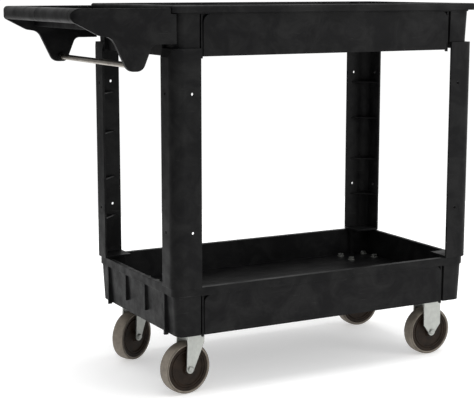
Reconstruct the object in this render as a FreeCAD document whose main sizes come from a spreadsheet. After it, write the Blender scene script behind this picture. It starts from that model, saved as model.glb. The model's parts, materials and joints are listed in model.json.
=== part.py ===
import FreeCAD, Part
import Sketcher
import math
import os
import re

# Two-shelf rolling utility cart: two moulded tubs, four corner posts, a moulded push handle
# with a steel cross rod, two rigid casters and two swivel casters.
# Frame: +Z up, Z = 0 is the floor, the handle is at the -X end, the origin is the middle of
# the whole cart's footprint.

doc = FreeCAD.newDocument("utility_cart")

SIZES = {
    # overall frame, measured over the outer faces of the corner posts
    "frame_length": 762,
    "frame_width": 432,
    "deck_spacing": 586,
    # both tubs
    "tub_height": 104,
    "tub_depth": 64,
    "floor_thickness": 4,
    "skirt_thickness": 5,
    "wall_thickness": 5,
    "end_inset": 7,
    "side_inset": 6,
    "end_draft": 5,
    "side_draft": 2,
    "tub_corner_radius": 20,
    "cavity_corner_radius": 10,
    "cavity_draft": 4,
    "rail_height": 18,
    "rail_inset": 4,
    "lip_overhang": 3,
    "lip_height": 15,
    "lip_radius": 5,
    "lip_corner_radius": 12,
    "groove_width": 9,
    "groove_depth": 8,
    "groove_curve": 16,
    "tab_width": 4,
    "tab_drop": 4,
    "tab_reach": 5,
    "rib_thickness": 5.5,
    "short_rib_clearance": 27,
    "floor_rib_height": 12,
    "floor_rib_thickness": 4,
    # corner posts
    "post_length_side": 64,
    "post_width_end": 60,
    "post_wall": 4.5,
    "post_radius": 24,
    "post_cap": 5,
    "web_thickness": 3,
    "web_reach": 44,
    "lowest_web_drop": 172,
    "lower_web_drop": 80,
    "upper_web_rise": 26,
    "highest_web_rise": 118,
    "pillar_depth": 32,
    "pillar_wall": 5,
    "hole_radius": 3.25,
    "hole_from_end": 43.7,
    "hole_from_side": 39.8,
    "hole_above_rim": 118,
    "hole_spacing": 288.5,
    "shoulder_height": 18,
    "shoulder_depth": 5,
    "post_top_gap": 87,
    "spigot_length": 40,
    "spigot_breadth": 34,
    "spigot_depth": 14,
    "spigot_wall": 4,
    "spigot_clearance": 0.3,
    # push handle
    "handle_reach": 213,
    "handle_top_drop": 5,
    "plate_thickness": 9,
    "nose_radius": 14,
    "nose_drop": 25,
    "corner_rounding": 16,
    "arm_run": 55,
    "arm_drop": 53,
    "arm_foot_drop": 57,
    "plate_foot_drop": 72,
    "lobe_front_lead": 54,
    "lobe_front_reach": 20.5,
    "lobe_back_reach": 11,
    "lobe_back_lead": 33,
    "lobe_margin": 10.5,
    "lobe_radius": 19,
    "arm_bend_radius": 30,
    "lobe_bend_radius": 24,
    "tongue_lip_gap": 2,
    "tongue_length": 8.6,
    "lip_clearance": 0.6,
    "boss_length": 7,
    "boss_wall": 4,
    "seam_width": 1.2,
    "seam_depth": 0.8,
    "seam_from_side": 26,
    "screw_radius": 2.4,
    "screw_hole_radius": 2.6,
    "screw_head_radius": 4.5,
    "screw_head_height": 3,
    "screw_reach": 9,
    "screw_drop": 12,
    "screw_hole_length": 30,
    "grip_depth": 32,
    "grip_height": 29,
    "grip_back_radius": 8,
    "tray_length": 142,
    "tray_depth": 34,
    "tray_wall": 4,
    "rod_radius": 6,
    "rod_position": 77,
    "rod_drop": 119.5,
    "rod_socket_depth": 12,
    "rod_clearance": 0.1,
    "rod_end_gap": 0.5,
    # casters
    "wheel_radius": 57,
    "wheel_width": 30,
    "tyre_bead": 3,
    "tyre_shoulder_height": 3.5,
    "tyre_shoulder_inset": 0.4,
    "tyre_bevel_height": 1.2,
    "tyre_bevel_inset": 2.4,
    "tyre_crown_inset": 6,
    "hub_radius": 50,
    "hub_rim_depth": 10,
    "hub_rim_recess": 2,
    "hub_dish": 6,
    "hub_boss_radius": 13,
    "hub_boss_reach": 18,
    "axle_radius": 4,
    "sleeve_radius": 6.5,
    "fork_gap": 38,
    "fork_metal": 3,
    "fork_leg_width": 47,
    "leg_taper_rise": 18,
    "leg_lead": 9,
    "leg_notch_rise": 55,
    "leg_set_back": 3.5,
    "crown_radius": 27,
    "dust_rim_thickness": 2,
    "crown_gap": 0.4,
    "fork_tip_radius": 9.5,
    "wheel_headroom": 38,
    "pad_height": 23,
    "caster_from_end": 66,
    "swivel_from_end": 80,
    "caster_from_side": 66,
    "caster_trail": 28,
    "mount_plate_length": 92,
    "mount_plate_width": 72,
    "mount_plate_metal": 3,
    "plate_corner_radius": 8,
    "bolt_spacing_long": 70,
    "bolt_spacing_short": 50,
    "bolt_radius": 4,
    "bolt_hole_radius": 4.5,
    "bolt_head_flats": 13,
    "bolt_head_height": 5.5,
    "nut_height": 6.5,
    "washer_radius": 8.5,
    "washer_metal": 1.6,
    "pad_margin": 5,
    "pad_rib_half": 2,
    "boss_radius": 9,
    "ball_radius": 3.8,
    "ball_ring_radius": 19,
    "ball_clearance": 0.3,
    "kingpin_radius": 5,
    "pin_head_radius": 9,
    "pin_head_height": 5,
    "pin_head_bevel": 2,
    "pin_head_gap": 0.3,
    "pin_bore_clearance": 0.05,
    "axle_head_radius": 6.5,
    "axle_head_height": 4.5,
    "axle_head_bevel": 1.5,
    "axle_thread_end": 1.5,
    "axle_hole_clearance": 0.15,
    "sleeve_bore_clearance": 0.1,
    "nut_bore_clearance": 0.05,
    "washer_clearance": 0.2,
    "front_swivel_angle": 8,
    "back_swivel_angle": 28,
    "running_clearance": 0.08,
}

# heights that are added up from other sizes, each with how often it counts
SUMS = {
    "caster_height": {"wheel_radius": 2, "wheel_headroom": 1},
    "lower_rim_height": {"caster_height": 1, "pad_height": 1, "floor_thickness": 1, "tub_depth": 1},
    "upper_rim_height": {"lower_rim_height": 1, "deck_spacing": 1},
    "lower_hole_height": {"lower_rim_height": 1, "hole_above_rim": 1},
    "rod_height": {"upper_rim_height": 1, "rod_drop": -1},
}

sheet = doc.addObject("Spreadsheet::Sheet", "sizes")
for row, (alias, number) in enumerate(SIZES.items(), start=1):
    sheet.set("A%d" % row, alias.replace("_", " "))
    sheet.set("B%d" % row, str(number))
    sheet.setAlias("B%d" % row, alias)
doc.recompute()

nodes = []


def size(alias):
    """A size read back from the sheet, for the shapes made with Part's own functions."""
    if alias in SUMS:
        return sum(times * size(part) for part, times in SUMS[alias].items())
    return float(sheet.get(alias))


def formula(text):
    """A formula in alias words, turned into one that the document can bind to."""
    def written(word):
        if word.group(0) not in SUMS:
            return "sizes." + word.group(0)
        terms = SUMS[word.group(0)].items()
        return "(%s)" % " + ".join("%d * %s" % (times, formula(part)) for part, times in terms)
    return re.sub(r"[a-z][a-z_]*_[a-z_]+", written, str(text))


def bind(thing, **formulas):
    for name, text in formulas.items():
        thing.setExpression(name.replace("__", "."), formula(text))
    return thing


def place(thing, x="0", y="0", z="0"):
    return bind(thing, Placement__Base__x=x, Placement__Base__y=y, Placement__Base__z=z)


def add(kind, name):
    return doc.addObject(kind, name)


def box(name, low, high):
    """A box between two corners, each given as three formulas."""
    block = add("Part::Box", name)
    spans = ["(%s) - (%s)" % (top, bottom) for bottom, top in zip(low, high)]
    bind(block, Length=spans[0], Width=spans[1], Height=spans[2])
    return place(block, *low)


def rod(name, radius, length, at, axis="z"):
    """A cylinder that starts at a point and runs along +X, +Y or +Z."""
    turn = {"x": ((0, 1, 0), 90), "y": ((1, 0, 0), -90), "z": ((0, 0, 1), 0)}[axis]
    cylinder = add("Part::Cylinder", name)
    cylinder.Placement.Rotation = FreeCAD.Rotation(FreeCAD.Vector(*turn[0]), turn[1])
    bind(cylinder, Radius=radius, Height=length)
    return place(cylinder, *at)


def drafted_box(name, x_mid, foot, crown, z_low, z_high):
    """A block about y = 0 whose half sizes (x, y) change from its foot to its crown."""
    wedge = add("Part::Wedge", name)
    wedge.Placement.Rotation = FreeCAD.Rotation(FreeCAD.Vector(1, 0, 0), 90)
    bind(wedge, Ymin="0", Ymax="(%s) - (%s)" % (z_high, z_low))
    bind(wedge, Xmin="-(%s)" % foot[0], Xmax=foot[0], Zmin="-(%s)" % foot[1], Zmax=foot[1])
    bind(wedge, X2min="-(%s)" % crown[0], X2max=crown[0], Z2min="-(%s)" % crown[1], Z2max=crown[1])
    return place(wedge, x_mid, "0", z_low)


def fuse(name, things):
    joined = add("Part::MultiFuse", name)
    joined.Shapes = things
    joined.Refine = True
    return joined


def cut(name, base, tools):
    tool = tools[0] if len(tools) == 1 else fuse(name + "_tools", tools)
    result = add("Part::Cut", name)
    result.Base = base
    result.Tool = tool
    result.Refine = True
    return result


def rounded(name, base, radius, wanted):
    """Round every edge of the base for which wanted(edge) is true."""
    doc.recompute()
    result = add("Part::Fillet", name)
    result.Base = base
    picked = [i for i, edge in enumerate(base.Shape.Edges, start=1) if wanted(edge)]
    result.Edges = [(i, radius, radius) for i in picked]
    return result


def upright(edge):
    """True for a straight edge that runs mostly along Z."""
    start, end = edge.Vertexes[0].Point, edge.Vertexes[-1].Point
    return abs(end.z - start.z) > 3 * math.hypot(end.x - start.x, end.y - start.y)


def outline(sketch, points):
    """A closed outline whose corners are held by one X and one Y distance each."""
    count = len(points)
    spots = [FreeCAD.Vector(math.cos(i * 2 * math.pi / count) + 2,
                            math.sin(i * 2 * math.pi / count) + 2, 0) for i in range(count)]
    for i in range(count):
        sketch.addGeometry(Part.LineSegment(spots[i], spots[(i + 1) % count]))
    for i in range(count):
        sketch.addConstraint(Sketcher.Constraint("Coincident", i, 2, (i + 1) % count, 1))
    for i, point in enumerate(points):
        across = sketch.addConstraint(Sketcher.Constraint("DistanceX", -1, 1, i, 1, spots[i].x))
        sketch.setExpression("Constraints[%d]" % across, formula(point[0]))
        along = sketch.addConstraint(Sketcher.Constraint("DistanceY", -1, 1, i, 1, spots[i].y))
        sketch.setExpression("Constraints[%d]" % along, formula(point[1]))


def plane_of(body, role):
    return [plane for plane in body.Origin.OriginFeatures if plane.Role == role][0]


def body_sketch(body, name, role, points):
    sketch = body.newObject("Sketcher::SketchObject", name)
    sketch.AttachmentSupport = [(plane_of(body, role), "")]
    sketch.MapMode = "FlatFace"
    outline(sketch, points)
    return sketch


def turned(name, role, points):
    """A body turned about its sketch's upright axis; points are (radius, along)."""
    body = add("PartDesign::Body", name)
    sketch = body_sketch(body, name + "_profile", role, points)
    solid = body.newObject("PartDesign::Revolution", name + "_turn")
    solid.Profile = sketch
    solid.ReferenceAxis = (sketch, ["V_Axis"])
    solid.Angle = 360
    body.Tip = solid
    return body


def node(name, thing):
    """Name a finished sub-part; its label is its file's name."""
    thing.Label = name
    nodes.append(thing)
    return thing


# --- places shared by several pieces -------------------------------------------------------

MID = "(handle_reach - lip_overhang) / 2"
LEFT = "(%s - frame_length / 2)" % MID
RIGHT = "(%s + frame_length / 2)" % MID
HALF_WIDTH = "(frame_width / 2)"
ENDS = {"handle": -1, "far": 1}
SIDES = {"front": -1, "back": 1}


def span(mid, sign, near, far):
    """Low and high formulas of a stretch near..far out from a middle, on one side of it."""
    if sign > 0:
        return "%s + (%s)" % (mid, near), "%s + (%s)" % (mid, far)
    return "%s - (%s)" % (mid, far), "%s - (%s)" % (mid, near)


def corner_box(name, end, side, x_near, x_far, y_near, y_far, z_low, z_high):
    """A box in one corner, its reach given as distances in from the post's outer faces."""
    x_low, x_high = span(MID, end, "frame_length / 2 - (%s)" % x_far,
                         "frame_length / 2 - (%s)" % x_near)
    y_low, y_high = span("0", side, "frame_width / 2 - (%s)" % y_far,
                         "frame_width / 2 - (%s)" % y_near)
    return box(name, (x_low, y_low, z_low), (x_high, y_high, z_high))


def corners():
    for end_name, end in ENDS.items():
        for side_name, side in SIDES.items():
            yield end_name + "_" + side_name, end, side


def caster_middle(end, side):
    """The middle of a caster's mounting plate, as X and Y formulas."""
    inset = "swivel_from_end" if end < 0 else "caster_from_end"
    x = "%s + %d * (frame_length / 2 - %s)" % (MID, end, inset)
    y = "%d * (frame_width / 2 - caster_from_side)" % side
    return x, y


def bolt_spots(end, side):
    x, y = caster_middle(end, side)
    for right in (-1, 1):
        for back in (-1, 1):
            yield ("%s + %d * bolt_spacing_long / 2" % (x, right),
                   "%s + %d * bolt_spacing_short / 2" % (y, back))


# --- shelves ---------------------------------------------------------------------------------

def rail_solid(name, rim, overhang, height, radius):
    """The rounded band round the top of a tub."""
    half = ("frame_length / 2 + (%s)" % overhang, "frame_width / 2 + (%s)" % overhang)
    band = drafted_box(name + "_band", MID, half, half, "%s - (%s)" % (rim, height), rim)
    return rounded(name + "_rail", band, radius, upright)


def groove_tools(name, rim, foot):
    """The upright grooves at both ends of each long side, curved in under the top rail."""
    tools = []
    shelf = "%s - rail_height" % rim
    deep = "side_inset + groove_depth"
    for corner, end, side in corners():
        label = "%s_groove_%s" % (name, corner)
        tools.append(corner_box(label, end, side, "post_length_side",
                                "post_length_side + groove_width", "-1", deep,
                                "%s - 1" % foot, shelf))
        square = corner_box(label + "_square", end, side, "post_length_side + groove_width - 1",
                            "post_length_side + groove_width + groove_curve", "-1", deep,
                            "%s - groove_curve" % shelf, shelf)
        x = "%s + %d * (frame_length / 2 - post_length_side - groove_width - groove_curve)" \
            % (MID, end)
        y_low = span("0", side, "frame_width / 2 - (%s) - 1" % deep, "frame_width / 2 + 2")[0]
        arc = rod(label + "_arc", "groove_curve", "(%s) + 4" % deep,
                  (x, y_low, "%s - groove_curve" % shelf), "y")
        tools.append(cut(label + "_curve", square, [arc]))
    return tools


def end_ribs(name, rim, foot):
    """Upright ribs on both end walls: two full ones beside the columns, two shorter between."""
    ribs = []
    reach = "end_inset + end_draft + 1"
    for end_name, end in ENDS.items():
        for side_name, side in SIDES.items():
            label = "%s_rib_%s_%s" % (name, end_name, side_name)
            ribs.append(corner_box(label, end, side, "rail_inset", reach,
                                   "post_width_end", "post_width_end + rib_thickness",
                                   "%s - tab_drop" % foot, "%s - 1" % rim))
            middle = "frame_width / 2 - (frame_width / 2 - post_width_end) / 3"
            ribs.append(corner_box(label + "_short", end, side, "rail_inset", reach,
                                   "%s - rib_thickness / 2" % middle,
                                   "%s + rib_thickness / 2" % middle,
                                   "%s + short_rib_clearance" % foot, "%s - 1" % rim))
    return ribs


def groove_tabs(name, rim, foot):
    """A slim strip standing in each groove, its tip a little below the skirt."""
    strips = []
    for corner, end, side in corners():
        strips.append(corner_box("%s_tab_%s" % (name, corner), end, side,
                                 "post_length_side + groove_width - tab_width - 1",
                                 "post_length_side + groove_width - 1",
                                 "side_inset + groove_depth - tab_reach",
                                 "side_inset + groove_depth + 1",
                                 "%s - tab_drop" % foot, "%s - rail_height" % rim))
    return strips


def floor_ribs(name, foot_of_floor):
    """Stiffening ribs under the floor: three along the tub and four across it."""
    ribs = []
    low = "%s - floor_rib_height" % foot_of_floor
    high = "%s + 1" % foot_of_floor
    for i in (-1, 0, 1):
        y = "%d * frame_width / 8" % i
        ribs.append(box("%s_long_rib_%d" % (name, i + 1),
                        ("%s + end_inset + end_draft" % LEFT, "%s - floor_rib_thickness / 2" % y, low),
                        ("%s - end_inset - end_draft" % RIGHT, "%s + floor_rib_thickness / 2" % y,
                         high)))
    for i in (-3, -1, 1, 3):
        x = "%s + %d * frame_length / 14" % (MID, i)
        ribs.append(box("%s_cross_rib_%d" % (name, i + 3),
                        ("%s - floor_rib_thickness / 2" % x,
                         "-%s + side_inset + side_draft + 1" % HALF_WIDTH, low),
                        ("%s + floor_rib_thickness / 2" % x,
                         "%s - side_inset - side_draft - 1" % HALF_WIDTH, high)))
    return ribs


def tub(name, rim, rail):
    """A drafted tub with corner pillars, a floor, ribs and a skirt round its open underside."""
    foot = "(%s - tub_height)" % rim
    floor_top = "(%s - tub_depth)" % rim
    floor_foot = "(%s - tub_depth - floor_thickness)" % rim
    crown = ("frame_length / 2 - end_inset", "frame_width / 2 - side_inset")
    base = ("%s - end_draft" % crown[0], "%s - side_draft" % crown[1])
    block = drafted_box(name + "_block", MID, base, crown, foot, "%s - 1" % rim)
    shell = rounded(name + "_shell", block, size("tub_corner_radius"), upright)
    grooved = cut(name + "_grooved", shell, groove_tools(name, rim, foot))

    inner = ("frame_length / 2 - end_inset - wall_thickness - 1",
             "frame_width / 2 - side_inset - groove_depth - wall_thickness / 2")
    deep = ("%s - cavity_draft" % inner[0], "%s - cavity_draft" % inner[1])
    cavity = rounded(name + "_cavity",
                     drafted_box(name + "_cavity_block", MID, deep, inner, floor_top, "%s + 1" % rim),
                     size("cavity_corner_radius"), upright)
    pillars = [rounded("%s_pillar_%s" % (name, corner),
                       corner_box("%s_pillar_block_%s" % (name, corner), end, side,
                                  "0", "post_length_side", "0", "pillar_depth",
                                  "%s - 1" % floor_top, "%s + 2" % rim),
                       size("cavity_corner_radius"), upright)
               for corner, end, side in corners()]
    hollow = cut(name + "_hollow", cavity, pillars)

    under_half = ("%s - skirt_thickness" % base[0],
                  "%s - skirt_thickness - groove_depth + 2" % base[1])
    under = drafted_box(name + "_under", MID, under_half, under_half, "%s - 1" % foot, floor_foot)
    solid = fuse(name + "_solid", [grooved, rail] + end_ribs(name, rim, foot)
                 + groove_tabs(name, rim, foot))
    emptied = cut(name + "_emptied", solid, [hollow, under])
    return fuse(name + "_ribbed", [emptied] + floor_ribs(name, floor_foot)), foot, floor_foot


def caster_pads(floor_foot):
    """Four pads under the lower tub: a ring wall, cross ribs and a boss round each bolt."""
    pieces = []
    low = "caster_height"
    high = "%s + 1" % floor_foot
    for corner, end, side in corners():
        x, y = caster_middle(end, side)
        half_x = "(bolt_spacing_long / 2 + boss_radius + pad_margin)"
        half_y = "(bolt_spacing_short / 2 + boss_radius + pad_margin - 2)"
        ring = box("pad_ring_" + corner, ("%s - %s" % (x, half_x), "%s - %s" % (y, half_y), low),
                   ("%s + %s" % (x, half_x), "%s + %s" % (y, half_y), high))
        inside = box("pad_inside_" + corner,
                     ("%s - %s + floor_thickness" % (x, half_x),
                      "%s - %s + floor_thickness" % (y, half_y), "%s - 1" % low),
                     ("%s + %s - floor_thickness" % (x, half_x),
                      "%s + %s - floor_thickness" % (y, half_y), "%s + 1" % high))
        pieces.append(cut("pad_wall_" + corner, ring, [inside]))
        for i, (bx, by) in enumerate(bolt_spots(end, side)):
            pieces.append(rod("pad_boss_%s_%d" % (corner, i), "boss_radius",
                              "%s - %s" % (high, low), (bx, by, low)))
        pieces.append(box("pad_rib_x_" + corner,
                          ("%s - %s + 1" % (x, half_x), "%s - pad_rib_half" % y, low),
                          ("%s + %s - 1" % (x, half_x), "%s + pad_rib_half" % y, high)))
        pieces.append(box("pad_rib_y_" + corner,
                          ("%s - pad_rib_half" % x, "%s - %s + 1" % (y, half_y), low),
                          ("%s + pad_rib_half" % x, "%s + %s - 1" % (y, half_y), high)))
    return pieces


def spigot_box(name, corner, end, side, z_low, z_high, grow="0"):
    """The block of a post's spigot, or of its socket when it is grown."""
    from_end = "(end_inset + end_draft + pillar_wall)"
    from_side = "(side_inset + side_draft + pillar_wall)"
    return corner_box(name + corner, end, side, "%s - (%s)" % (from_end, grow),
                      "%s + spigot_breadth + (%s)" % (from_end, grow),
                      "%s - (%s)" % (from_side, grow),
                      "%s + spigot_depth + (%s)" % (from_side, grow), z_low, z_high)


def lower_shelf():
    rim = "lower_rim_height"
    rail = rail_solid("lower", rim, "-rail_inset", "rail_height", size("post_radius"))
    ribbed, foot, floor_foot = tub("lower", rim, rail)
    padded = fuse("lower_padded", [ribbed] + caster_pads(floor_foot))
    tools = [spigot_box("lower_socket_", corner, end, side, "%s - spigot_length - 1" % rim,
                        "%s + 1" % rim, "spigot_clearance") for corner, end, side in corners()]
    for corner, end, side in corners():
        for i, (x, y) in enumerate(bolt_spots(end, side)):
            tools.append(rod("lower_bolt_hole_%s_%d" % (corner, i), "bolt_hole_radius",
                             "tub_height", (x, y, "caster_height - 2")))
    node("lower_shelf", cut("lower_shelf", padded, tools))


def upper_shelf():
    rim = "upper_rim_height"
    rail = rail_solid("upper", rim, "-rail_inset", "rail_height", size("post_radius"))
    half = ("frame_length / 2 + lip_overhang", "frame_width / 2 + lip_overhang")
    lip_block = drafted_box("upper_lip_block", MID, half, half, "%s - lip_height" % rim, rim)
    lip_corners = rounded("upper_lip_corners", lip_block, size("lip_corner_radius"), upright)
    top = size("upper_rim_height")
    lip = rounded("upper_lip", lip_corners, size("lip_radius"),
                  lambda edge: all(abs(vertex.Point.z - top) < 0.01 for vertex in edge.Vertexes))
    band = fuse("upper_band", [rail, lip])
    ribbed, foot, floor_foot = tub("upper", rim, band)
    column_foot = "%s - post_top_gap" % rim
    tools = []
    for corner, end, side in corners():
        tools.append(spigot_box("upper_socket_", corner, end, side, "%s - 1" % column_foot,
                                "%s + spigot_length + 1" % column_foot, "spigot_clearance"))
        tools.append(corner_box("upper_column_cut_" + corner, end, side, "-1", "post_length_side",
                                "-1", "post_width_end", "%s - 1" % foot, column_foot))
    for i, (y, z) in enumerate(screw_spots()):
        tools.append(rod("upper_screw_hole_%d" % i, "screw_hole_radius", "screw_hole_length",
                         ("%s + rail_inset - 1" % LEFT, y, z), "x"))
    node("upper_shelf", cut("upper_shelf", ribbed, tools))


# --- posts -----------------------------------------------------------------------------------

def post(corner, end, side):
    """An open corner channel with a cap and a spigot at both ends and webs between."""
    name = "post_" + corner
    low = "lower_rim_height"
    high = "(upper_rim_height - post_top_gap)"
    block = corner_box(name + "_block", end, side, "0", "post_length_side", "0", "post_width_end",
                       low, high)
    outer_x = (size("handle_reach") - size("lip_overhang")) / 2 + end * size("frame_length") / 2
    outer_y = side * size("frame_width") / 2

    def outer_corner(edge):
        point = edge.Vertexes[0].Point
        return upright(edge) and math.hypot(point.x - outer_x, point.y - outer_y) < 0.01

    skin = rounded(name + "_skin", block, size("post_radius"), outer_corner)
    core_block = corner_box(name + "_core_block", end, side, "post_wall", "post_length_side + 1",
                            "post_wall", "post_width_end + 1", "%s + post_cap" % low,
                            "%s - post_cap" % high)
    inner_x = outer_x - end * size("post_wall")
    inner_y = outer_y - side * size("post_wall")

    def inner_corner(edge):
        point = edge.Vertexes[0].Point
        return upright(edge) and math.hypot(point.x - inner_x, point.y - inner_y) < 0.01

    core = rounded(name + "_core", core_block, size("post_radius") - size("post_wall"), inner_corner)
    channel = cut(name + "_channel", skin, [core])

    webs = []
    for i, height in enumerate(web_heights()):
        webs.append(web(name + "_web_%d" % i, end, side, height))
    spigots = []
    for tag, z_low, z_high in (("foot", "%s - spigot_length" % low, "%s + 1" % low),
                               ("head", "%s - 1" % high, "%s + spigot_length" % high)):
        peg = spigot_box(name + "_%s_" % tag, corner, end, side, z_low, z_high)
        bore_low = z_low + " - 1" if tag == "foot" else z_low + " + post_cap"
        bore_high = z_high + " - post_cap" if tag == "foot" else z_high + " + 1"
        bore = spigot_box(name + "_%s_bore_" % tag, corner, end, side, bore_low, bore_high,
                          "-spigot_wall")
        spigots.append(cut(name + "_%s_spigot" % tag, peg, [bore]))
    joined = fuse(name + "_joined", [channel] + webs + spigots)

    tools = post_holes(name, end, side)
    tools.append(shoulder_tool(name, end, side, high))
    node(name, cut(name, joined, tools))


def web_heights():
    """Heights of the four webs, between and beyond the two rows of holes."""
    mid = "(lower_hole_height + hole_spacing / 2)"
    return ("%s - lowest_web_drop" % mid, "%s - lower_web_drop" % mid,
            "%s + upper_web_rise" % mid, "%s + highest_web_rise" % mid)


def web(name, end, side, height):
    """A three-cornered web across the inside of a post."""
    sketch = add("Sketcher::SketchObject", name + "_outline")
    outline(sketch, [("%d * post_radius / 2" % -end, "0"),
                     ("%d * (post_wall + web_reach)" % -end, "0"),
                     ("0", "%d * (post_wall + web_reach)" % -side),
                     ("0", "%d * post_radius / 2" % -side)])
    plate = add("Part::Extrusion", name)
    plate.Base = sketch
    plate.DirMode = "Custom"
    plate.Dir = FreeCAD.Vector(0, 0, 1)
    plate.Solid = True
    bind(plate, LengthFwd="web_thickness")
    place(sketch, "%s + %d * (frame_length / 2 - post_wall + 1)" % (MID, end),
          "%d * (frame_width / 2 - post_wall + 1)" % side, height)
    return plate


def post_holes(name, end, side):
    holes = []
    for row in (0, 1):
        z = "lower_hole_height + %d * hole_spacing" % row
        x = "%s + %d * (frame_length / 2 - hole_from_end)" % (MID, end)
        y = "%d * (frame_width / 2 - hole_from_side)" % side
        y_low = span("0", side, "frame_width / 2 - post_wall - 2", "frame_width / 2 + 2")[0]
        x_low = span(MID, end, "frame_length / 2 - post_wall - 2", "frame_length / 2 + 2")[0]
        holes.append(rod("%s_side_hole_%d" % (name, row), "hole_radius", "post_wall + 4",
                         (x, y_low, z), "y"))
        holes.append(rod("%s_end_hole_%d" % (name, row), "hole_radius", "post_wall + 4",
                         (x_low, y, z), "x"))
    return holes


def shoulder_tool(name, end, side, high):
    """The wedge of material taken off the top of a post's end face."""
    sketch = add("Sketcher::SketchObject", name + "_shoulder_outline")
    outline(sketch, [("%d * frame_length / 2" % end, "-shoulder_height"),
                     ("%d * (frame_length / 2 + 1)" % end, "-shoulder_height"),
                     ("%d * (frame_length / 2 + 1)" % end, "1"),
                     ("%d * (frame_length / 2 - shoulder_depth)" % end, "1"),
                     ("%d * (frame_length / 2 - shoulder_depth)" % end, "0")])
    sketch.Placement.Rotation = FreeCAD.Rotation(FreeCAD.Vector(1, 0, 0), 90)
    place(sketch, MID, span("0", side, "frame_width / 2 - post_width_end - 1",
                            "frame_width / 2 + 1")[1], high)
    tool = add("Part::Extrusion", name + "_shoulder")
    tool.Base = sketch
    tool.DirMode = "Custom"
    tool.Dir = FreeCAD.Vector(0, -1, 0)
    tool.Solid = True
    bind(tool, LengthFwd="post_width_end + 2")
    return tool


# --- push handle -----------------------------------------------------------------------------

def soft_outline(points):
    """A face inside straight runs joined by tangent arcs; each point is (x, z, radius)."""
    edges = []
    joints = []
    count = len(points)
    for i, (x, z, radius) in enumerate(points):
        here = FreeCAD.Vector(x, 0, z)
        back = FreeCAD.Vector(points[i - 1][0], 0, points[i - 1][1]) - here
        ahead = FreeCAD.Vector(points[(i + 1) % count][0], 0, points[(i + 1) % count][1]) - here
        half = back.getAngle(ahead) / 2
        reach = radius / math.tan(half)
        middle = back.normalize() + ahead.normalize()
        start = here + back * reach
        end = here + ahead * reach
        nearest = here + middle.normalize() * (radius / math.sin(half) - radius)
        joints.append((start, nearest, end, radius))
    for i, (start, nearest, end, radius) in enumerate(joints):
        if radius > 0:
            edges.append(Part.Arc(start, nearest, end).toShape())
        following = joints[(i + 1) % count][0]
        if (following - end).Length > 1e-6:
            edges.append(Part.LineSegment(end, following).toShape())
    return Part.Face(Part.Wire(edges))


def screw_spots():
    """Y and Z of the screws that hold the handle to the upper tub."""
    z = "upper_rim_height - lip_height - screw_drop"
    return [("%d * frame_width / 6" % i, z) for i in (-2, -1, 1, 2)]


def side_plate_face(top, left):
    """The side of the handle: a rounded nose, a sloping arm and a lobe that holds the rod."""
    rod_x = left - size("rod_position")
    lobe_foot = size("rod_height") - size("lobe_margin")
    plate_foot = top - size("plate_foot_drop")
    lip_face = left - size("lip_overhang") - size("lip_clearance")
    under_lip = size("upper_rim_height") - size("lip_height") - size("tongue_lip_gap")
    tongue = left + size("tongue_length")
    nose = left - size("handle_reach")
    return soft_outline([
        (lip_face, top, 1),
        (nose, top, size("nose_radius")),
        (nose, top - size("nose_drop"), size("nose_radius") - 1),
        (nose + size("arm_run"), top - size("arm_drop"), size("arm_bend_radius")),
        (rod_x - size("lobe_front_lead"), top - size("arm_foot_drop"),
         size("lobe_bend_radius")),
        (rod_x - size("lobe_front_reach"), lobe_foot, size("lobe_radius")),
        (rod_x + size("lobe_back_reach"), lobe_foot, size("lobe_radius")),
        (rod_x + size("lobe_back_lead"), plate_foot, size("nose_radius")),
        (tongue, plate_foot, 1),
        (tongue, under_lip, 1),
        (lip_face, under_lip, 0.5),
    ])


def grip_face(top, nose, inset):
    """The section of the grip bar, drawn in all round by an inset."""
    foot = top - size("grip_height")
    back = nose + size("grip_depth")
    back_radius = size("grip_back_radius") - inset
    return soft_outline([
        (nose + inset, top - inset, size("nose_radius") - inset),
        (nose + inset, foot + inset, size("nose_radius") - 1 - inset),
        (back - inset, foot + inset, back_radius),
        (back - inset, top - inset, back_radius),
    ])


def handle_tray(left, half, thick):
    """A shallow open tray between the side plates, screwed to the end of the upper tub."""
    wall = size("tray_wall")
    back = left + size("rail_inset")
    front = left - size("tray_length")
    top = size("upper_rim_height") - size("lip_height") - 1
    foot = top - size("tray_depth")
    block = Part.makeBox(back - front, 2 * (half - thick) + 2, top - foot,
                         FreeCAD.Vector(front, -half + thick - 1, foot))
    inside = Part.makeBox(back - front - 3 * wall, 2 * (half - thick), size("tray_depth"),
                          FreeCAD.Vector(front + wall, -half + thick, foot + wall))
    inside = inside.makeFillet(2 * wall, [edge for edge in inside.Edges if upright(edge)])
    return block.cut(inside)


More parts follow.
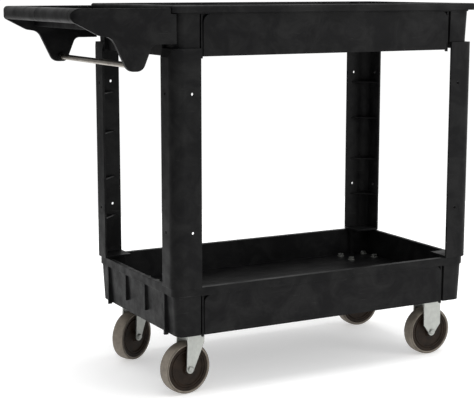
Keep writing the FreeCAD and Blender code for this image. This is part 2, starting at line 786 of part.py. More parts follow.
def push_handle():
    """One moulding: two side plates, a grip bar with fine seams and a shallow tray between."""
    left = (size("handle_reach") - size("lip_overhang")) / 2 - size("frame_length") / 2
    top = size("upper_rim_height") - size("handle_top_drop")
    half = size("frame_width") / 2
    thick = size("plate_thickness")
    nose = left - size("handle_reach")
    rod_x = left - size("rod_position")
    rod_z = size("rod_height")
    socket_radius = size("rod_radius") + size("rod_clearance")
    plate_face = side_plate_face(top, left)
    grip = grip_face(top, nose, 0)
    pieces = []
    tools = []
    for side in (-1, 1):
        plate = plate_face.extrude(FreeCAD.Vector(0, thick, 0))
        plate.translate(FreeCAD.Vector(0, -half if side < 0 else half - thick, 0))
        inner = half - thick - size("boss_length")
        boss = Part.makeCylinder(socket_radius + size("boss_wall"), size("boss_length") + 1,
                                 FreeCAD.Vector(rod_x, side * inner, rod_z),
                                 FreeCAD.Vector(0, side, 0))
        pieces += [plate, boss]
        tools.append(Part.makeCylinder(socket_radius, size("rod_socket_depth") + 1,
                                       FreeCAD.Vector(rod_x, side * (inner - 1), rod_z),
                                       FreeCAD.Vector(0, side, 0)))
        bend = size("corner_rounding")
        corner_y = half - bend if side > 0 else -half - 1
        corner = Part.makeBox(bend + 1, bend + 1, top - rod_z,
                              FreeCAD.Vector(nose - 1, corner_y, rod_z + 1))
        kept = Part.makeCylinder(bend, top, FreeCAD.Vector(nose + bend, side * (half - bend), 0))
        tools.append(corner.cut(kept))
    bar = grip.extrude(FreeCAD.Vector(0, 2 * half, 0))
    bar.translate(FreeCAD.Vector(0, -half, 0))
    pieces += [bar, handle_tray(left, half, thick)]

    core = grip_face(top, nose, size("seam_depth"))
    for y in (-half + size("seam_from_side"), 0, half - size("seam_from_side")):
        ring = grip.extrude(FreeCAD.Vector(0, size("seam_width"), 0)).cut(
            core.extrude(FreeCAD.Vector(0, size("seam_width"), 0)))
        ring.translate(FreeCAD.Vector(0, y - size("seam_width") / 2, 0))
        tools.append(ring)
    screw_z = size("upper_rim_height") - size("lip_height") - size("screw_drop")
    hole_start = left + size("rail_inset") - size("screw_hole_length") * 2 / 3
    for i in (-2, -1, 1, 2):
        tools.append(Part.makeCylinder(size("screw_hole_radius"), size("screw_hole_length"),
                                       FreeCAD.Vector(hole_start, i * half / 3, screw_z),
                                       FreeCAD.Vector(1, 0, 0)))
    moulding = add("Part::Feature", "push_handle")
    moulding.Shape = pieces[0].multiFuse(pieces[1:]).cut(tools).removeSplitter()
    node("push_handle", moulding)


def handle_rod():
    """The steel cross rod, seated in both lobes."""
    reach = "(frame_width / 2 - plate_thickness - boss_length + rod_socket_depth - rod_end_gap)"
    bar = rod("handle_rod", "rod_radius", "2 * %s" % reach,
              ("%s - rod_position" % LEFT, "-%s" % reach, "rod_height"), "y")
    node("handle_rod", bar)


def handle_screws():
    """Pan head screws driven from inside the tray into the tub's end wall."""
    screws = []
    for i, (y, z) in enumerate(screw_spots()):
        x = "%s + rail_inset - 2 * tray_wall" % LEFT
        head = rod("handle_screw_head_%d" % i, "screw_head_radius", "screw_head_height",
                   ("%s - screw_head_height" % x, y, z), "x")
        shank = rod("handle_screw_shank_%d" % i, "screw_radius",
                    "2 * tray_wall + screw_reach", (x, y, z), "x")
        screws.append(fuse("handle_screw_%d" % i, [head, shank]))
    group = add("Part::Compound", "handle_screws")
    group.Links = screws
    node("handle_screws", group)


# --- casters ---------------------------------------------------------------------------------

def hexagon(name, flats, height):
    prism = add("Part::Prism", name)
    prism.Polygon = 6
    bind(prism, Circumradius="%s / 2 / cos(30)" % flats, Height=height)
    return prism


def mount_plate(name):
    """A steel mounting plate about the caster's own upright axis, with four bolt holes."""
    half_x = "mount_plate_length / 2"
    half_y = "mount_plate_width / 2"
    block = box(name + "_block", ("-%s" % half_x, "-%s" % half_y, "caster_height - mount_plate_metal"),
                (half_x, half_y, "caster_height"))
    plate = rounded(name + "_corners", block, size("plate_corner_radius"), upright)
    holes = []
    for i, (right, back) in enumerate(((-1, -1), (1, -1), (1, 1), (-1, 1))):
        holes.append(rod("%s_hole_%d" % (name, i), "bolt_hole_radius", "mount_plate_metal + 2",
                         ("%d * bolt_spacing_long / 2" % right, "%d * bolt_spacing_short / 2" % back,
                          "caster_height - mount_plate_metal - 1")))
    return plate, holes


def leg_pair(name, points, axle_x):
    """Two fork legs with round tips, on both sides of the wheel, with the axle's holes."""
    legs = []
    for side in (-1, 1):
        label = "%s_leg_%s" % (name, "front" if side < 0 else "back")
        sketch = add("Sketcher::SketchObject", label + "_outline")
        outline(sketch, points)
        sketch.Placement.Rotation = FreeCAD.Rotation(FreeCAD.Vector(1, 0, 0), 90)
        y_low, y_high = span("0", side, "fork_gap / 2", "fork_gap / 2 + fork_metal")
        place(sketch, "0", y_high, "0")
        leg = add("Part::Extrusion", label)
        leg.Base = sketch
        leg.DirMode = "Custom"
        leg.Dir = FreeCAD.Vector(0, -1, 0)
        leg.Solid = True
        bind(leg, LengthFwd="fork_metal")
        tip = rod(label + "_tip", "fork_tip_radius", "fork_metal", (axle_x, y_low, "wheel_radius"), "y")
        legs += [leg, tip]
    bore = rod(name + "_axle_hole", "axle_radius + axle_hole_clearance", "fork_gap + 4 * fork_metal",
               (axle_x, "-fork_gap / 2 - 2 * fork_metal", "wheel_radius"), "y")
    return legs, bore


def rigid_fork(corner, end, side):
    """A fixed fork pressed from one plate: the mounting plate and two tapered legs."""
    name = "rigid_fork_" + corner
    plate, holes = mount_plate(name)
    top = "caster_height - 1"
    legs, bore = leg_pair(name, [("-fork_leg_width / 2", top),
                                 ("-fork_leg_width / 2", "wheel_radius + leg_taper_rise"),
                                 ("-fork_tip_radius", "wheel_radius - 1"),
                                 ("fork_tip_radius", "wheel_radius - 1"),
                                 ("fork_leg_width / 2", "wheel_radius + leg_taper_rise"),
                                 ("fork_leg_width / 2", top)], "0")
    result = cut(name, fuse(name + "_joined", [plate] + legs), holes + [bore])
    place(result, *caster_middle(end, side))
    node(name, result)


def ball_gap_top():
    return "(caster_height - mount_plate_metal)"


def crown_top():
    return "(caster_height - mount_plate_metal - 2 * ball_radius - 2 * ball_clearance)"


def swivel_plate(corner, end, side):
    """The fixed plate of a swivel caster, with a hub under it that the kingpin goes through."""
    name = "swivel_plate_" + corner
    plate, holes = mount_plate(name)
    low = "%s + crown_gap" % crown_top()
    hub = rod(name + "_hub", "ball_ring_radius - ball_radius - 1", "caster_height - 1 - (%s)" % low,
              ("0", "0", low))
    bore = rod(name + "_bore", "kingpin_radius + pin_bore_clearance", "caster_height", ("0", "0", "1"))
    result = cut(name, fuse(name + "_joined", [plate, hub]), holes + [bore])
    place(result, *caster_middle(end, side))
    node(name, result)


def swivel_fork(corner, end, side, angle):
    """A turning fork: a round crown with a dust rim and two legs that trail behind."""
    name = "swivel_fork_" + corner
    crown_low = "(%s - fork_metal)" % crown_top()
    crown = rod(name + "_crown", "crown_radius", "fork_metal", ("0", "0", crown_low))
    rim = cut(name + "_rim",
              rod(name + "_rim_outer", "crown_radius", "fork_metal + ball_radius",
                  ("0", "0", crown_low)),
              [rod(name + "_rim_inner", "crown_radius - dust_rim_thickness", "ball_radius + 1",
                   ("0", "0", crown_top()))])
    trailing = "-caster_trail - fork_tip_radius"
    legs, bore = leg_pair(name, [("%s + leg_set_back" % trailing, "%s + 1" % crown_low),
                                 (trailing, "wheel_radius"),
                                 ("-caster_trail + fork_tip_radius", "wheel_radius - 1"),
                                 ("leg_lead - 1", "wheel_radius + leg_notch_rise"),
                                 ("leg_lead", "%s + 1" % crown_low)], "-caster_trail")
    cheek = box(name + "_cheek",
                ("%s + leg_set_back" % trailing, "-fork_gap / 2 - fork_metal", crown_low),
                ("leg_lead", "fork_gap / 2 + fork_metal", "%s + fork_metal" % crown_low))
    pin_hole = rod(name + "_pin_hole", "kingpin_radius + running_clearance", "4 * fork_metal",
                   ("0", "0", "%s - fork_metal" % crown_low))
    result = cut(name, fuse(name + "_joined", [crown, rim, cheek] + legs), [bore, pin_hole])
    turn_about_kingpin(result, end, side, angle)
    node(name, result)


def turn_about_kingpin(thing, end, side, angle):
    """Place a piece made about the kingpin, turned by the caster's resting angle."""
    bind(thing, Placement__Rotation__Angle=angle)
    thing.Placement.Rotation.Axis = FreeCAD.Vector(0, 0, 1)
    place(thing, *caster_middle(end, side))


def kingpin(corner, end, side):
    """The rivet that holds a swivel fork up; its head is under the crown."""
    crown_low = "(%s - fork_metal)" % crown_top()
    pin = turned("kingpin_" + corner, "XZ_Plane",
                 [("0", "%s - pin_head_height" % crown_low),
                  ("pin_head_radius - pin_head_bevel", "%s - pin_head_height" % crown_low),
                  ("pin_head_radius", "%s - pin_head_height + pin_head_bevel" % crown_low),
                  ("pin_head_radius", "%s - pin_head_gap" % crown_low),
                  ("kingpin_radius", "%s - pin_head_gap" % crown_low),
                  ("kingpin_radius", "caster_height"), ("0", "caster_height")])
    place(pin, *caster_middle(end, side))
    node("kingpin_" + corner, pin)


def ball_ring(corner, end, side):
    """The ring of steel balls between the plate and the crown."""
    balls = []
    count = 12
    for i in range(count):
        ball = add("Part::Sphere", "ball_%s_%d" % (corner, i))
        bind(ball, Radius="ball_radius")
        place(ball, "ball_ring_radius * cos(%d)" % (360 / count * i),
              "ball_ring_radius * sin(%d)" % (360 / count * i),
              "%s - ball_radius - ball_clearance" % ball_gap_top())
        balls.append(ball)
    ring = add("Part::Compound", "swivel_balls_" + corner)
    ring.Links = balls
    place(ring, *caster_middle(end, side))
    node("swivel_balls_" + corner, ring)


def wheel_middle(end, side, angle):
    """The wheel's middle as X, Y and Z formulas, at the caster's resting angle."""
    x, y = caster_middle(end, side)
    if end > 0:
        return x, y, "wheel_radius"
    return ("%s - caster_trail * cos(%s)" % (x, angle), "%s - caster_trail * sin(%s)" % (y, angle),
            "wheel_radius")


def wheel_piece(name, points, end, side, angle):
    """A piece turned about the wheel's axle; points are (radius, distance along the axle)."""
    piece = turned(name, "XY_Plane", points)
    if end < 0:
        bind(piece, Placement__Rotation__Angle=angle)
        piece.Placement.Rotation.Axis = FreeCAD.Vector(0, 0, 1)
    place(piece, *wheel_middle(end, side, angle))
    node(name, piece)


def wheel(corner, end, side, angle):
    half = "wheel_width / 2"
    bore = "(sleeve_radius + running_clearance)"
    shoulder = "wheel_radius - tyre_shoulder_height"
    bevel = "wheel_radius - tyre_bevel_height"
    wheel_piece("wheel_tyre_" + corner,
                [("hub_radius", "-%s + 1" % half), ("hub_radius + tyre_bead", "-%s" % half),
                 (shoulder, "-%s + tyre_shoulder_inset" % half),
                 (bevel, "-%s + tyre_bevel_inset" % half),
                 ("wheel_radius", "-%s + tyre_crown_inset" % half),
                 ("wheel_radius", "%s - tyre_crown_inset" % half),
                 (bevel, "%s - tyre_bevel_inset" % half),
                 (shoulder, "%s - tyre_shoulder_inset" % half),
                 ("hub_radius + tyre_bead", half), ("hub_radius", "%s - 1" % half)],
                end, side, angle)
    dish = "(%s - hub_dish)" % half
    ring = "(hub_radius - hub_rim_depth)"
    wheel_piece("wheel_hub_" + corner,
                [(bore, "-hub_boss_reach"), ("hub_boss_radius - 1", "-hub_boss_reach"),
                 ("hub_boss_radius", "-hub_boss_reach + 1"), ("hub_boss_radius + 1", "-%s" % dish),
                 (ring, "-%s + 1" % dish), ("%s + 2" % ring, "-%s + hub_rim_recess" % half),
                 ("hub_radius", "-%s + hub_rim_recess" % half),
                 ("hub_radius", "%s - hub_rim_recess" % half),
                 ("%s + 2" % ring, "%s - hub_rim_recess" % half), (ring, "%s - 1" % dish),
                 ("hub_boss_radius + 1", dish), ("hub_boss_radius", "hub_boss_reach - 1"),
                 ("hub_boss_radius - 1", "hub_boss_reach"), (bore, "hub_boss_reach")],
                end, side, angle)
    sleeve = "(fork_gap / 2)"
    sleeve_bore = "axle_radius + sleeve_bore_clearance"
    wheel_piece("axle_sleeve_" + corner,
                [(sleeve_bore, "-%s" % sleeve), ("sleeve_radius", "-%s" % sleeve),
                 ("sleeve_radius", sleeve), (sleeve_bore, sleeve)], end, side, angle)
    outer = "(fork_gap / 2 + fork_metal)"
    wheel_piece("axle_bolt_" + corner,
                [("0", "-%s - axle_head_height" % outer),
                 ("axle_head_radius - axle_head_bevel", "-%s - axle_head_height" % outer),
                 ("axle_head_radius", "-%s - axle_head_height + axle_head_bevel" % outer),
                 ("axle_head_radius", "-%s" % outer), ("axle_radius", "-%s" % outer),
                 ("axle_radius", "%s + nut_height + axle_thread_end" % outer),
                 ("0", "%s + nut_height + axle_thread_end" % outer)], end, side, angle)
    axle_nut(corner, end, side, angle)


def axle_nut(corner, end, side, angle):
    name = "axle_nut_" + corner
    blank = hexagon(name + "_blank", "bolt_head_flats", "nut_height")
    blank.Placement.Rotation = FreeCAD.Rotation(FreeCAD.Vector(1, 0, 0), -90)
    place(blank, "0", "fork_gap / 2 + fork_metal", "0")
    hole = rod(name + "_hole", "axle_radius + nut_bore_clearance", "nut_height + 2",
               ("0", "fork_gap / 2 + fork_metal - 1", "0"), "y")
    nut = cut(name, blank, [hole])
    if end < 0:
        bind(nut, Placement__Rotation__Angle=angle)
        nut.Placement.Rotation.Axis = FreeCAD.Vector(0, 0, 1)
    place(nut, *wheel_middle(end, side, angle))
    node(name, nut)


def mounting_hardware():
    """Hex bolts through the floor and pads, with washers above and lock nuts below."""
    bolts = []
    washers = []
    nuts = []
    floor_top = "(lower_rim_height - tub_depth)"
    plate_foot = "(caster_height - mount_plate_metal)"
    for corner, end, side in corners():
        for i, (x, y) in enumerate(bolt_spots(end, side)):
            tag = "%s_%d" % (corner, i)
            disc = rod("washer_disc_" + tag, "washer_radius", "washer_metal", (x, y, floor_top))
            hole = rod("washer_hole_" + tag, "bolt_radius + washer_clearance", "washer_metal + 2",
                       (x, y, "%s - 1" % floor_top))
            washers.append(cut("washer_" + tag, disc, [hole]))
            head = hexagon("bolt_head_" + tag, "bolt_head_flats", "bolt_head_height")
            place(head, x, y, "%s + washer_metal" % floor_top)
            shank = rod("bolt_shank_" + tag, "bolt_radius",
                        "%s + washer_metal + 1 - %s + nut_height + 1" % (floor_top, plate_foot),
                        (x, y, "%s - nut_height - 1" % plate_foot))
            bolts.append(fuse("bolt_" + tag, [head, shank]))
            blank = hexagon("nut_blank_" + tag, "bolt_head_flats", "nut_height")
            place(blank, x, y, "%s - nut_height" % plate_foot)
            bore = rod("nut_bore_" + tag, "bolt_radius + nut_bore_clearance", "nut_height + 2",
                       (x, y, "%s - nut_height - 1" % plate_foot))
            nuts.append(cut("nut_" + tag, blank, [bore]))
    for name, pieces in (("caster_bolts", bolts), ("caster_washers", washers),
                         ("caster_nuts", nuts)):
        group = add("Part::Compound", name)
        group.Links = pieces
        node(name, group)


def casters():
    for corner, end, side in corners():
        angle = "front_swivel_angle" if side < 0 else "back_swivel_angle"
        if end < 0:
            swivel_plate(corner, end, side)
            swivel_fork(corner, end, side, angle)
            kingpin(corner, end, side)
            ball_ring(corner, end, side)
        else:
            rigid_fork(corner, end, side)
        wheel(corner, end, side, angle)


# --- build, check and write --------------------------------------------------------------------

lower_shelf()
upper_shelf()
for corner_name, end_sign, side_sign in corners():
    post(corner_name, end_sign, side_sign)
push_handle()
handle_rod()
handle_screws()
casters()
mounting_hardware()
doc.recompute()

for thing in doc.Objects:
    for flag in ("Invalid", "Error"):
        if flag in thing.State:
            raise RuntimeError("%s is %s" % (thing.Label, flag))
for thing in nodes:
    if thing.Shape.isNull() or not thing.Shape.isValid():
        raise RuntimeError("%s has no valid shape" % thing.Label)

os.makedirs("parts", exist_ok=True)
for thing in nodes:
    thing.Shape.exportStep(os.path.join("parts", thing.Label + ".step"))
print("wrote %d sub-parts" % len(nodes))
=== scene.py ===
"""Looks and picture of the rolling utility cart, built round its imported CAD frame.

Metres, Z up, floor at 0. X runs along the cart with the push handle at the low end, and the
side at low Y faces the camera.
"""

import json
import math

import bpy
import numpy as np
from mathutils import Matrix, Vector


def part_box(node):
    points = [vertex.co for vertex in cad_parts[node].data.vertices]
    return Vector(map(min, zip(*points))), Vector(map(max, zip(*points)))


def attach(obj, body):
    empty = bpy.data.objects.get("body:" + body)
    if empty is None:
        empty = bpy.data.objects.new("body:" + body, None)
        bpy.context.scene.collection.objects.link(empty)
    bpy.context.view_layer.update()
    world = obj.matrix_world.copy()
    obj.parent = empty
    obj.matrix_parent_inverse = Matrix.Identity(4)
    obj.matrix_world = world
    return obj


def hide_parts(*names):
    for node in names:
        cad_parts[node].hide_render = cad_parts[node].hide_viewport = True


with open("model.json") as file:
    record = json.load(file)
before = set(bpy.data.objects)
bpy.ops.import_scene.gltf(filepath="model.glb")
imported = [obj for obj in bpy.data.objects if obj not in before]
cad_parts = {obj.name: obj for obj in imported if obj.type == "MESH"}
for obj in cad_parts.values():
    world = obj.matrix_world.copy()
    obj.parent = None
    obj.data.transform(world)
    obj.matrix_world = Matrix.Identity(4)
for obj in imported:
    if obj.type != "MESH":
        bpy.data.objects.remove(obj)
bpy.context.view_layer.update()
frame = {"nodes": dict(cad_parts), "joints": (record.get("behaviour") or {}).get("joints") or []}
JOINTS = {joint["name"]: joint for joint in frame["joints"]}
CORNERS = ("handle_front", "handle_back", "far_front", "far_back")
MM = 0.001
WHEEL_WIDTH = 30 * MM
TREAD_CROWN = 0.35 * MM
HUB_BORE = 6.7 * MM
TURNED_STEPS = 160
SHARP_ANGLE = math.radians(35)
CAMERA_PLACE = (-1.3933, -2.5646, 0.8658)
CAMERA_TILT_DEGREES = 80.5835
CAMERA_TURN_DEGREES = -28.283
CAMERA_LENS_MM = 97.70


# --- colours and materials -------------------------------------------------------------------

def srgb(code):
    """A #rrggbb colour as linear RGBA, opaque."""
    parts = [int(code[i:i + 2], 16) / 255 for i in (1, 3, 5)]
    linear = [c / 12.92 if c <= 0.04045 else ((c + 0.055) / 1.055) ** 2.4 for c in parts]
    return (*linear, 1.0)


def put(tree, kind, inputs=None, **settings):
    """Adds one shader node; inputs holds values, or output sockets to link from."""
    node = tree.nodes.new("ShaderNode" + kind)
    for name, value in settings.items():
        setattr(node, name, value)
    for name, value in (inputs or {}).items():
        socket = node.inputs[name]
        if isinstance(value, bpy.types.NodeSocket):
            tree.links.new(value, socket)
        else:
            socket.default_value = value
    return node


def blank(name):
    """A material with an empty tree and its object coordinates, in metres."""
    material = bpy.data.materials.new(name)
    material.use_nodes = True
    tree = material.node_tree
    tree.nodes.clear()
    coords = put(tree, "TexCoord").outputs["Object"]
    return material, tree, coords


def noise(tree, coords, size_mm, detail=3.0, rough=0.55, stretch=(1, 1, 1), warp=0.0):
    """Noise whose features are about size_mm across, stretched along an axis where asked."""
    scaled = put(tree, "Mapping", {"Vector": coords, "Scale": stretch})
    texture = put(tree, "TexNoise", {"Vector": scaled.outputs["Vector"],
                                     "Scale": 1 / (size_mm * MM), "Detail": detail,
                                     "Roughness": rough, "Distortion": warp})
    return texture.outputs["Fac"]


def spread(tree, value, low, high, to_low, to_high):
    """value from low..high carried over to to_low..to_high, held at both ends."""
    return put(tree, "MapRange", {"Value": value, "From Min": low, "From Max": high,
                                  "To Min": to_low, "To Max": to_high}).outputs["Result"]


def blend(tree, share, first, second):
    """Mix of two colours: share 0 gives the first and share 1 the second."""
    node = put(tree, "Mix", data_type="RGBA")
    share_in, first_in, second_in = (node.inputs[i] for i in (0, 6, 7))
    for socket, value in ((share_in, share), (first_in, first), (second_in, second)):
        if isinstance(value, bpy.types.NodeSocket):
            tree.links.new(value, socket)
        else:
            socket.default_value = value
    return node.outputs[2]


def relief(tree, height, depth_mm, under=None):
    """A bump of the given depth, over another normal if there is one."""
    inputs = {"Height": height, "Distance": depth_mm * MM, "Strength": 1.0}
    if under is not None:
        inputs["Normal"] = under
    return put(tree, "Bump", inputs).outputs["Normal"]


def finish_off(tree, **inputs):
    """The surface shader and the material's output."""
    names = {key.replace("_", " ").title().replace("Ior", "IOR"): value
             for key, value in inputs.items()}
    shader = put(tree, "BsdfPrincipled", names)
    put(tree, "OutputMaterial", {"Surface": shader.outputs["BSDF"]})


def black_moulded_polypropylene(name, dark, light, edge_mm, low_rough, high_rough):
    """Structural foam polypropylene from a spark-eroded steel mould: fine matt grain, cloudy flow
    marks a few centimetres across, and pale hairline scuffs from handling."""
    material, tree, coords = blank(name)
    cloud = noise(tree, coords, 60, 6, 0.68, warp=0.9)
    flow = noise(tree, coords, 26, 4, 0.6, stretch=(0.35, 1, 1))
    colour = blend(tree, spread(tree, cloud, 0.42, 0.64, 0, 1), srgb(dark), srgb(light))
    scuff = noise(tree, coords, 5, 2, 0.5, stretch=(0.08, 0.3, 1.4), warp=1.5)
    chance = noise(tree, coords, 60, 2, 0.5)
    scuffed = put(tree, "Math", {0: spread(tree, scuff, 0.66, 0.74, 0, 0.5),
                                 1: spread(tree, chance, 0.5, 0.62, 0, 1)}, operation="MULTIPLY")
    colour = blend(tree, scuffed.outputs[0], colour, srgb("#343433"))
    rough = spread(tree, flow, 0.34, 0.68, low_rough, high_rough)
    rounded = put(tree, "Bevel", {"Radius": edge_mm * MM}, samples=6).outputs["Normal"]
    waves = relief(tree, noise(tree, coords, 38, 2, 0.5), 0.35, rounded)
    grain = relief(tree, noise(tree, coords, 1.3, 2, 0.6), 0.05, waves)
    finish_off(tree, base_color=colour, roughness=rough, normal=grain, specular_ior_level=0.1)
    return material


def zinc_plated_sheet(name):
    """Pressed steel with bright passivated zinc: faint blue-white bloom and drawing lines."""
    material, tree, coords = blank(name)
    bloom = noise(tree, coords, 14, 5, 0.65)
    drawn = noise(tree, coords, 1.6, 3, 0.6, stretch=(1, 1, 0.06))
    colour = blend(tree, spread(tree, bloom, 0.35, 0.7, 0, 1), srgb("#a0a29e"), srgb("#b0b2ad"))
    rough = spread(tree, drawn, 0.3, 0.7, 0.34, 0.5)
    rounded = put(tree, "Bevel", {"Radius": 0.6 * MM}, samples=4).outputs["Normal"]
    normal = relief(tree, drawn, 0.03, rounded)
    finish_off(tree, base_color=colour, roughness=rough, normal=normal, metallic=0.85)
    return material


def zinc_plated_fastener(name):
    """Cold-headed steel with a thin zinc coat, a little dulled at the flats."""
    material, tree, coords = blank(name)
    dull = noise(tree, coords, 4, 3, 0.6)
    colour = blend(tree, spread(tree, dull, 0.35, 0.7, 0, 1), srgb("#8d8f8b"), srgb("#adaeaa"))
    rounded = put(tree, "Bevel", {"Radius": 0.5 * MM}, samples=4).outputs["Normal"]
    finish_off(tree, base_color=colour, roughness=spread(tree, dull, 0.3, 0.7, 0.34, 0.5),
               normal=relief(tree, dull, 0.02, rounded), metallic=1.0)
    return material


def satin_plated_rod(name):
    """Drawn steel bar, satin nickel plated: fine rings left round it by polishing."""
    material, tree, coords = blank(name)
    rings = noise(tree, coords, 0.9, 3, 0.6, stretch=(0.2, 1, 0.2))
    stain = noise(tree, coords, 22, 3, 0.6)
    colour = blend(tree, spread(tree, stain, 0.35, 0.7, 0, 1), srgb("#958e85"), srgb("#b3ada4"))
    finish_off(tree, base_color=colour, roughness=spread(tree, rings, 0.3, 0.7, 0.26, 0.4),
               normal=relief(tree, rings, 0.01), metallic=1.0)
    return material


def polished_bearing_steel(name):
    """Ground and polished balls with a film of grease."""
    material, tree, coords = blank(name)
    film = noise(tree, coords, 3, 2, 0.5)
    colour = blend(tree, spread(tree, film, 0.35, 0.7, 0, 1), srgb("#a8a6a0"), srgb("#d2d2d0"))
    finish_off(tree, base_color=colour, roughness=spread(tree, film, 0.3, 0.7, 0.1, 0.28),
               metallic=1.0)
    return material


def grey_rubber_tread(name):
    """Non-marking thermoplastic rubber, moulded on: matt, warm grey, dusty where it rolls."""
    material, tree, coords = blank(name)
    dust = noise(tree, coords, 14, 5, 0.65)
    speck = noise(tree, coords, 1.1, 3, 0.7)
    colour = blend(tree, spread(tree, dust, 0.34, 0.68, 0, 1), srgb("#6b6359"), srgb("#857d72"))
    colour = blend(tree, spread(tree, speck, 0.6, 0.75, 0, 0.35), colour, srgb("#5f584f"))
    rounded = put(tree, "Bevel", {"Radius": 0.8 * MM}, samples=4).outputs["Normal"]
    finish_off(tree, base_color=colour, roughness=spread(tree, dust, 0.3, 0.7, 0.5, 0.7),
               normal=relief(tree, speck, 0.04, rounded), specular_ior_level=0.35)
    return material


def brown_hub_polyolefin(name):
    """Dark brown injection moulded hub: slight gloss, cloudy flow marks and a fine grain."""
    material, tree, coords = blank(name)
    cloud = noise(tree, coords, 18, 4, 0.6)
    colour = blend(tree, spread(tree, cloud, 0.35, 0.7, 0, 1), srgb("#17100a"), srgb("#2a2018"))
    rounded = put(tree, "Bevel", {"Radius": 0.8 * MM}, samples=4).outputs["Normal"]
    grain = noise(tree, coords, 1.2, 2, 0.6)
    finish_off(tree, base_color=colour, roughness=spread(tree, cloud, 0.3, 0.7, 0.36, 0.52),
               normal=relief(tree, grain, 0.03, rounded), specular_ior_level=0.12)
    return material


def pale_floor_paint(name):
    """Matt pale paint with the faintest mottling, lit a little from inside so that the shadow
    under the cart stays pale."""
    material, tree, coords = blank(name)
    mottle = noise(tree, coords, 240, 3, 0.5)
    colour = blend(tree, spread(tree, mottle, 0.35, 0.65, 0, 1), srgb("#dfdfdf"), srgb("#e5e5e5"))
    finish_off(tree, base_color=colour, roughness=spread(tree, mottle, 0.3, 0.7, 0.7, 0.8),
               specular_ior_level=0.1, emission_color=(1, 1, 1, 1), emission_strength=0.42)
    return material


SHELF_PLASTIC = black_moulded_polypropylene(
    "black_moulded_polypropylene_shelf", "#0a0a0b", "#191919", 1.4, 0.36, 0.56)
POST_PLASTIC = black_moulded_polypropylene(
    "black_moulded_polypropylene_post", "#0b0b0c", "#1a1a1a", 1.4, 0.34, 0.54)
HANDLE_PLASTIC = black_moulded_polypropylene(
    "black_moulded_polypropylene_handle", "#0a0a0b", "#191919", 1.8, 0.3, 0.48)
SHEET_METAL = zinc_plated_sheet("zinc_plated_pressed_steel")
FASTENER_METAL = zinc_plated_fastener("zinc_plated_fasteners")
ROD_METAL = satin_plated_rod("satin_nickel_plated_rod")
BALL_METAL = polished_bearing_steel("polished_bearing_steel")
TREAD_RUBBER = grey_rubber_tread("grey_thermoplastic_rubber")
HUB_PLASTIC = brown_hub_polyolefin("dark_brown_hub_polyolefin")
FLOOR_PAINT = pale_floor_paint("pale_studio_floor")

FINISHES = (
    ("lower_shelf", SHELF_PLASTIC), ("upper_shelf", SHELF_PLASTIC), ("post_", POST_PLASTIC),
    ("push_handle", HANDLE_PLASTIC), ("handle_rod", ROD_METAL), ("handle_screws", FASTENER_METAL),
    ("rigid_fork_", SHEET_METAL), ("swivel_plate_", SHEET_METAL), ("swivel_fork_", SHEET_METAL),
    ("kingpin_", FASTENER_METAL), ("swivel_balls_", BALL_METAL), ("axle_", FASTENER_METAL),
    ("caster_", FASTENER_METAL), ("wheel_tyre_", TREAD_RUBBER), ("wheel_hub_", HUB_PLASTIC),
)
for node_name, node_object in frame["nodes"].items():
    finish = next(material for start, material in FINISHES if node_name.startswith(start))
    node_object.data.materials.clear()
    node_object.data.materials.append(finish)


# --- pieces made as surfaces -----------------------------------------------------------------

def surface(name, points, faces, material):
    """A mesh object at the origin from arrays of points and quads, smooth up to SHARP_ANGLE."""
    mesh = bpy.data.meshes.new(name)
    mesh.from_pydata(points.tolist(), [], faces.tolist())
    mesh.validate()
    mesh.shade_smooth()
    mesh.set_sharp_from_angle(angle=SHARP_ANGLE)
    mesh.materials.append(material)
    made = bpy.data.objects.new(name, mesh)
    bpy.context.scene.collection.objects.link(made)
    return made


def revolved(name, profile, centre, axis, material):
    """A closed profile of (along the axle, out from it) carried round the axle: point (i, j) is
    centre + along_j * axle + out_j * (cos turn_i * ahead + sin turn_i * up)."""
    axle = np.array(axis, float) / np.linalg.norm(axis)
    up = np.array([0.0, 0.0, 1.0])
    ahead = np.cross(axle, up)
    turn = np.linspace(0, 2 * np.pi, TURNED_STEPS, endpoint=False)[:, None, None]
    along = np.array(profile)[None, :, :1]
    out = np.array(profile)[None, :, 1:]
    points = np.array(centre) + along * axle + out * (np.cos(turn) * ahead + np.sin(turn) * up)
    count = len(profile)
    i, j = np.meshgrid(np.arange(TURNED_STEPS), np.arange(count), indexing="ij")
    following_i, following_j = (i + 1) % TURNED_STEPS, (j + 1) % count
    faces = np.stack([i * count + j, i * count + following_j,
                      following_i * count + following_j, following_i * count + j], axis=-1)
    return surface(name, points.reshape(-1, 3), faces.reshape(-1, 4), material)


def softened(corners, per_corner=6):
    """A closed loop of straight runs with each corner (along, out, radius) turned by an arc."""
    loop = []
    count = len(corners)
    for k, (x, y, radius) in enumerate(corners):
        here = np.array([x, y])
        back = np.array(corners[k - 1][:2]) - here
        ahead = np.array(corners[(k + 1) % count][:2]) - here
        back = back / np.linalg.norm(back)
        ahead = ahead / np.linalg.norm(ahead)
        half = math.acos(np.clip(back @ ahead, -1, 1)) / 2
        if radius <= 0 or half > 1.5:
            loop.append(here)
            continue
        middle = (back + ahead) / np.linalg.norm(back + ahead)
        arc_centre = here + middle * radius / math.sin(half)
        start = here + back * radius / math.tan(half) - arc_centre
        end = here + ahead * radius / math.tan(half) - arc_centre
        for share in np.linspace(0, 1, per_corner):
            spoke = start * (1 - share) + end * share
            loop.append(arc_centre + spoke / np.linalg.norm(spoke) * radius)
    return np.array(loop)


def tyre_profile(width, bore, radius):
    """Section of a tyre: a low crown, round shoulders, and a raised bead beside the hub."""
    half = width / 2
    one_side = [
        (half - 1.6 * MM, bore, 0),
        (half - 0.4 * MM, bore + 0.6 * MM, 0.4 * MM),
        (half, bore + 3.5 * MM, 2 * MM),
        (half - 1.2 * MM, radius - 1.0 * MM, 5.5 * MM),
    ]
    crown = (0, radius + TREAD_CROWN, 60 * MM)
    other_side = [(-along, out, bend) for along, out, bend in one_side]
    return softened(other_side + [crown] + one_side[::-1])


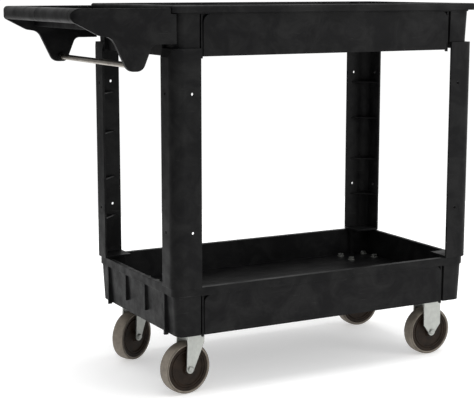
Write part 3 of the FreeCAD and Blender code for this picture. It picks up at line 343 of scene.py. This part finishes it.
def hub_profile(width, bore, radius):
    """Section of a hub: boss, thin web and a rim with a moulded ring."""
    reach = 18 * MM
    half = width / 2
    one_side = [
        (reach, bore, 0.3 * MM),
        (reach, 12 * MM, 0.8 * MM),
        (10.5 * MM, 13.2 * MM, 2.5 * MM),
        (9.5 * MM, 36.5 * MM, 2 * MM),
        (half - 2.6 * MM, 38.2 * MM, 0.8 * MM),
        (half - 2.6 * MM, 40.2 * MM, 0.6 * MM),
        (half - 4.2 * MM, 41.0 * MM, 0.6 * MM),
        (half - 4.2 * MM, 42.6 * MM, 0.6 * MM),
        (half - 2.2 * MM, 43.6 * MM, 0.8 * MM),
        (half - 1.6 * MM, radius - 0.4 * MM, 0.5 * MM),
        (half - 3.2 * MM, radius, 0.3 * MM),
    ]
    other_side = [(-along, out, bend) for along, out, bend in reversed(one_side)]
    return softened(one_side + other_side, 5)[::-1]


for corner in CORNERS:
    joint = JOINTS["wheel_" + corner]
    tyre_low, tyre_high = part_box("wheel_tyre_" + corner)
    tyre_radius = (tyre_high.z - tyre_low.z) / 2
    hub_low, hub_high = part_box("wheel_hub_" + corner)
    hub_radius = (hub_high.z - hub_low.z) / 2
    tyre = revolved("tyre_" + corner,
                    tyre_profile(WHEEL_WIDTH, hub_radius, tyre_radius - TREAD_CROWN),
                    joint["pos_m"], joint["axis"], TREAD_RUBBER)
    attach(tyre, "wheel_" + corner)
    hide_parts("wheel_tyre_" + corner)
    hub = revolved("hub_" + corner, hub_profile(WHEEL_WIDTH, HUB_BORE, hub_radius),
                   joint["pos_m"], joint["axis"], HUB_PLASTIC)
    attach(hub, "wheel_" + corner)
    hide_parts("wheel_hub_" + corner)


# --- floor, light and camera -----------------------------------------------------------------

def flat_floor(reach=1.9, cells=24):
    """A square of the plane z = 0 on an even grid about the cart's middle."""
    line = np.linspace(-reach, reach, cells + 1)
    x, y = np.meshgrid(line, line, indexing="ij")
    points = np.stack([x, y, np.zeros_like(x)], axis=-1).reshape(-1, 3)
    i, j = np.meshgrid(np.arange(cells), np.arange(cells), indexing="ij")
    row = cells + 1
    faces = np.stack([i * row + j, (i + 1) * row + j, (i + 1) * row + j + 1, i * row + j + 1],
                     axis=-1)
    return surface("studio_floor", points, faces.reshape(-1, 4), FLOOR_PAINT)


flat_floor()


def softbox(name, place, aim, size, watts):
    """A square white area light at place, turned to face aim."""
    data = bpy.data.lights.new(name, "AREA")
    data.shape = "SQUARE"
    data.size = size
    data.energy = watts
    lamp = bpy.data.objects.new(name, data)
    bpy.context.scene.collection.objects.link(lamp)
    lamp.location = place
    back = np.array(place) - np.array(aim)
    across = math.hypot(back[0], back[1])
    lamp.rotation_euler = (math.atan2(across, back[2]), 0, math.atan2(back[0], -back[1]))


softbox("overhead_softbox", (0.0, -0.3, 3.4), (0.0, 0.0, 0.3), 2.6, 80)
softbox("left_softbox", (-3.0, -1.7, 1.9), (0.0, 0.0, 0.45), 1.6, 3)
softbox("right_softbox", (2.4, -2.9, 1.5), (0.1, 0.0, 0.4), 1.4, 26)

world = bpy.data.worlds.new("studio_surround")
bpy.context.scene.world = world
world.use_nodes = True
sky = world.node_tree
sky.nodes.clear()
facing = put(sky, "VectorMath", {0: put(sky, "TexCoord").outputs["Generated"],
                                 1: (0.6, -0.5, 0.6)}, operation="DOT_PRODUCT")
glow = spread(sky, facing.outputs["Value"], -0.7, 0.65, 0.3, 0.95)
seen = put(sky, "LightPath").outputs["Is Camera Ray"]
strength = put(sky, "Mix", {0: seen, 2: glow, 3: 1.05}, data_type="FLOAT")
light = put(sky, "Background", {"Color": (1, 1, 1, 1), "Strength": strength.outputs[0]})
put(sky, "OutputWorld", {"Surface": light.outputs["Background"]})

camera = bpy.data.objects.new("camera", bpy.data.cameras.new("camera"))
bpy.context.scene.collection.objects.link(camera)
bpy.context.scene.camera = camera
camera.data.sensor_width = 36
camera.data.lens = CAMERA_LENS_MM
camera.location = CAMERA_PLACE
camera.rotation_euler = (math.radians(CAMERA_TILT_DEGREES), 0, math.radians(CAMERA_TURN_DEGREES))
camera.data.clip_end = 60
bpy.context.scene.view_settings.view_transform = "Standard"
bpy.context.scene.view_settings.look = "None"
